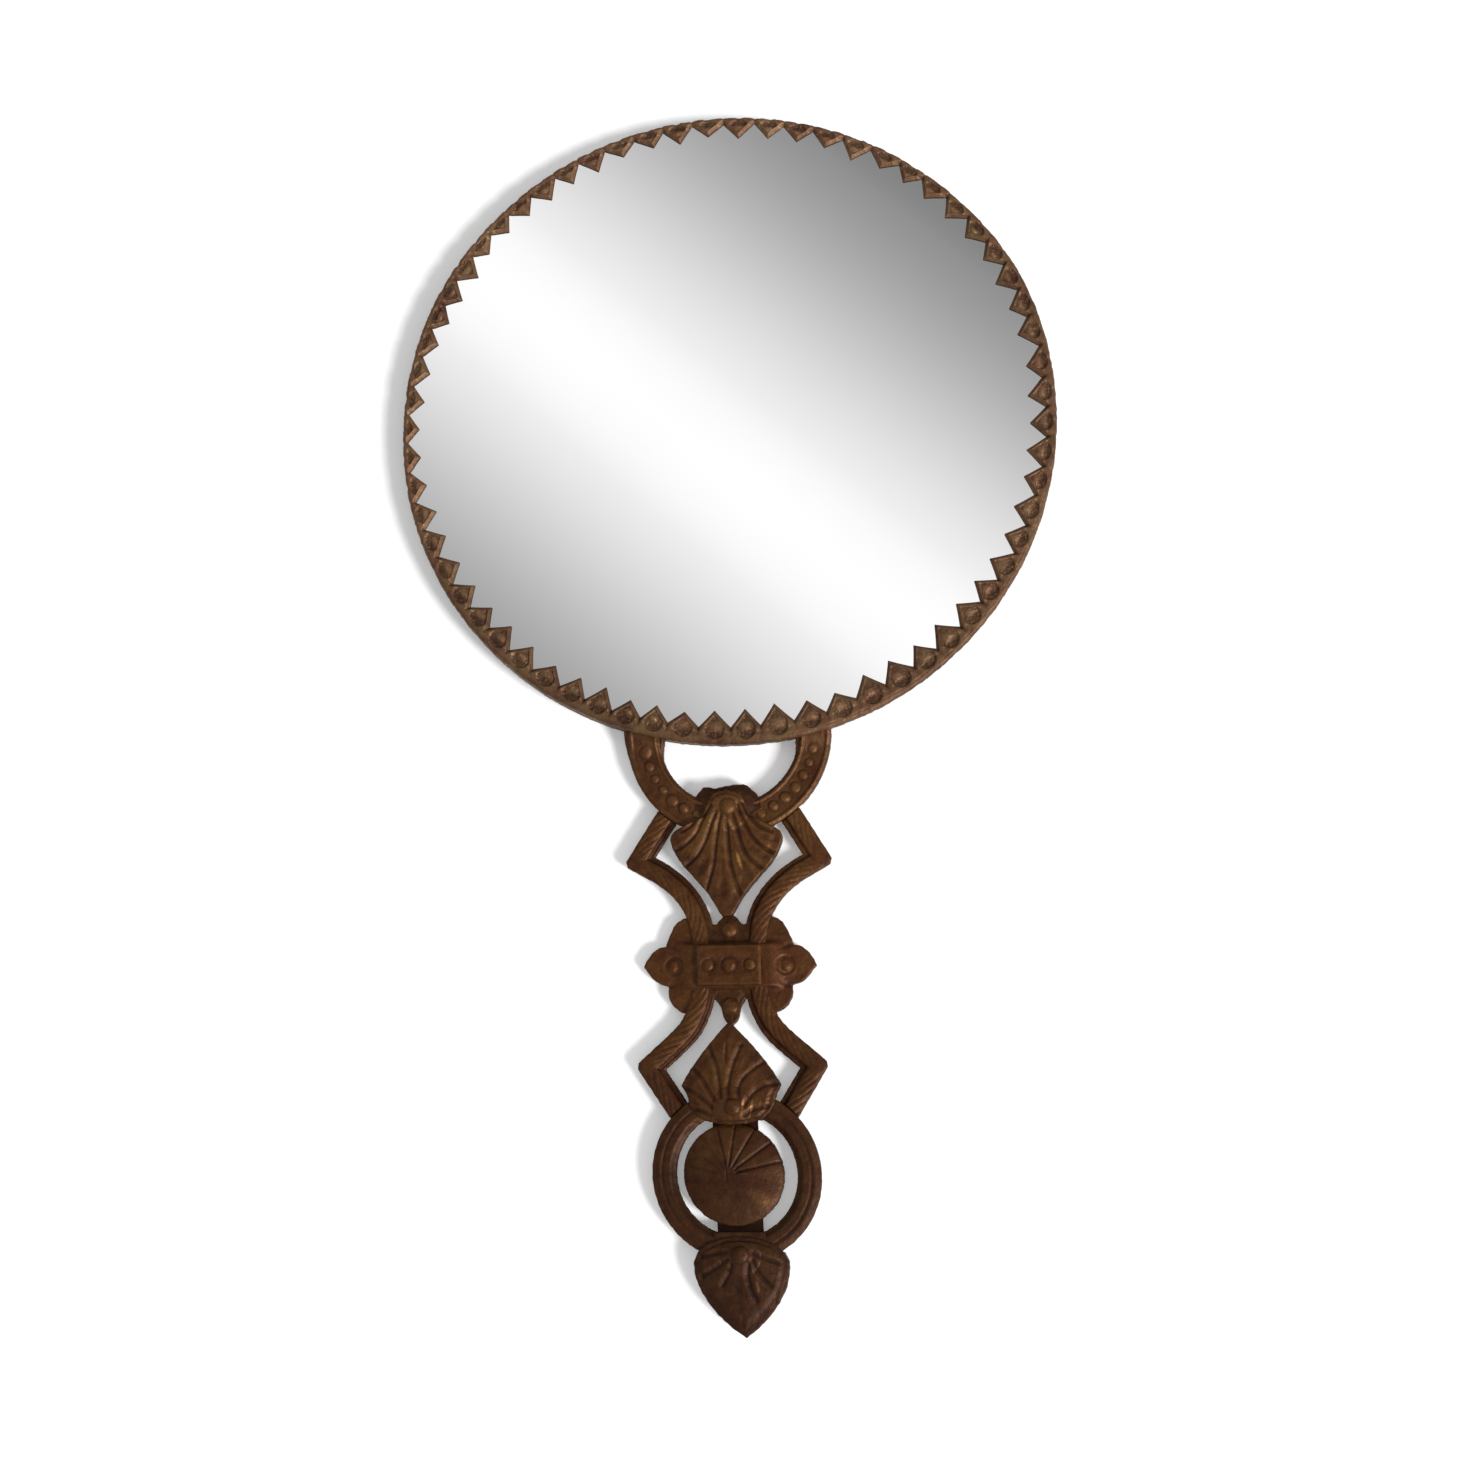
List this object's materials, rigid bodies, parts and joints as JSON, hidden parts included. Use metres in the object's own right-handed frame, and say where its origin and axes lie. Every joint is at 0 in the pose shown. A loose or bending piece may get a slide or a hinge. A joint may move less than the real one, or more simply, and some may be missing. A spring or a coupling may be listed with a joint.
{
  "type": "hand mirror",
  "caption": "Round ornate brass hand mirror: toothed bezel clasps the glass, openwork handle with yoke, rope straps, fan, cartouche, palmette, pommel ring and leaf.",
  "frame": {"origin": "centre of the round back plate's outer face, on which the mirror rests", "axes": "+Z out of the glass, +Y from the handle towards the top of the head, +X to the right as seen from the front"},
  "size_m": [0.16, 0.2949, 0.0085],
  "materials": {
    "bezel_brass": "cast brass with a worn brown patina",
    "handle_brass": "cast brass with a dark brown patina, worn bright on the high spots",
    "stud_brass": "rubbed brass",
    "back_brass": "rolled brass sheet with a brown patina",
    "fastener_brass": "dull brass",
    "silvered_glass": "silvered plate glass",
    "backing_card": "plain grey-brown board"
  },
  "bodies": {
    "root": {"bezel_ring": "bezel_brass", "mirror_glass": "silvered_glass", "backing_card": "backing_card", "back_plate": "back_brass", "back_screw_1": "fastener_brass", "back_screw_2": "fastener_brass", "back_screw_3": "fastener_brass", "back_screw_4": "fastener_brass", "back_screw_5": "fastener_brass", "back_screw_6": "fastener_brass", "back_screw_7": "fastener_brass", "back_screw_8": "fastener_brass", "yoke": "handle_brass", "rope_strap_right": "handle_brass", "rope_strap_left": "handle_brass", "waist_plate": "handle_brass", "cartouche_plate": "handle_brass", "cartouche_rivet_middle": "stud_brass", "cartouche_rivet_right": "stud_brass", "cartouche_rivet_left": "stud_brass", "lobe_rivet_right": "stud_brass", "lobe_rivet_left": "stud_brass", "bead_upper": "stud_brass", "bead_lower": "stud_brass", "fan_shell": "handle_brass", "fan_rivet": "stud_brass", "palmette": "handle_brass", "palmette_rivet": "stud_brass", "pommel_ring": "handle_brass", "roundel": "handle_brass", "terminal_leaf": "handle_brass", "leaf_rivet": "stud_brass"}
  },
  "joints": []
}
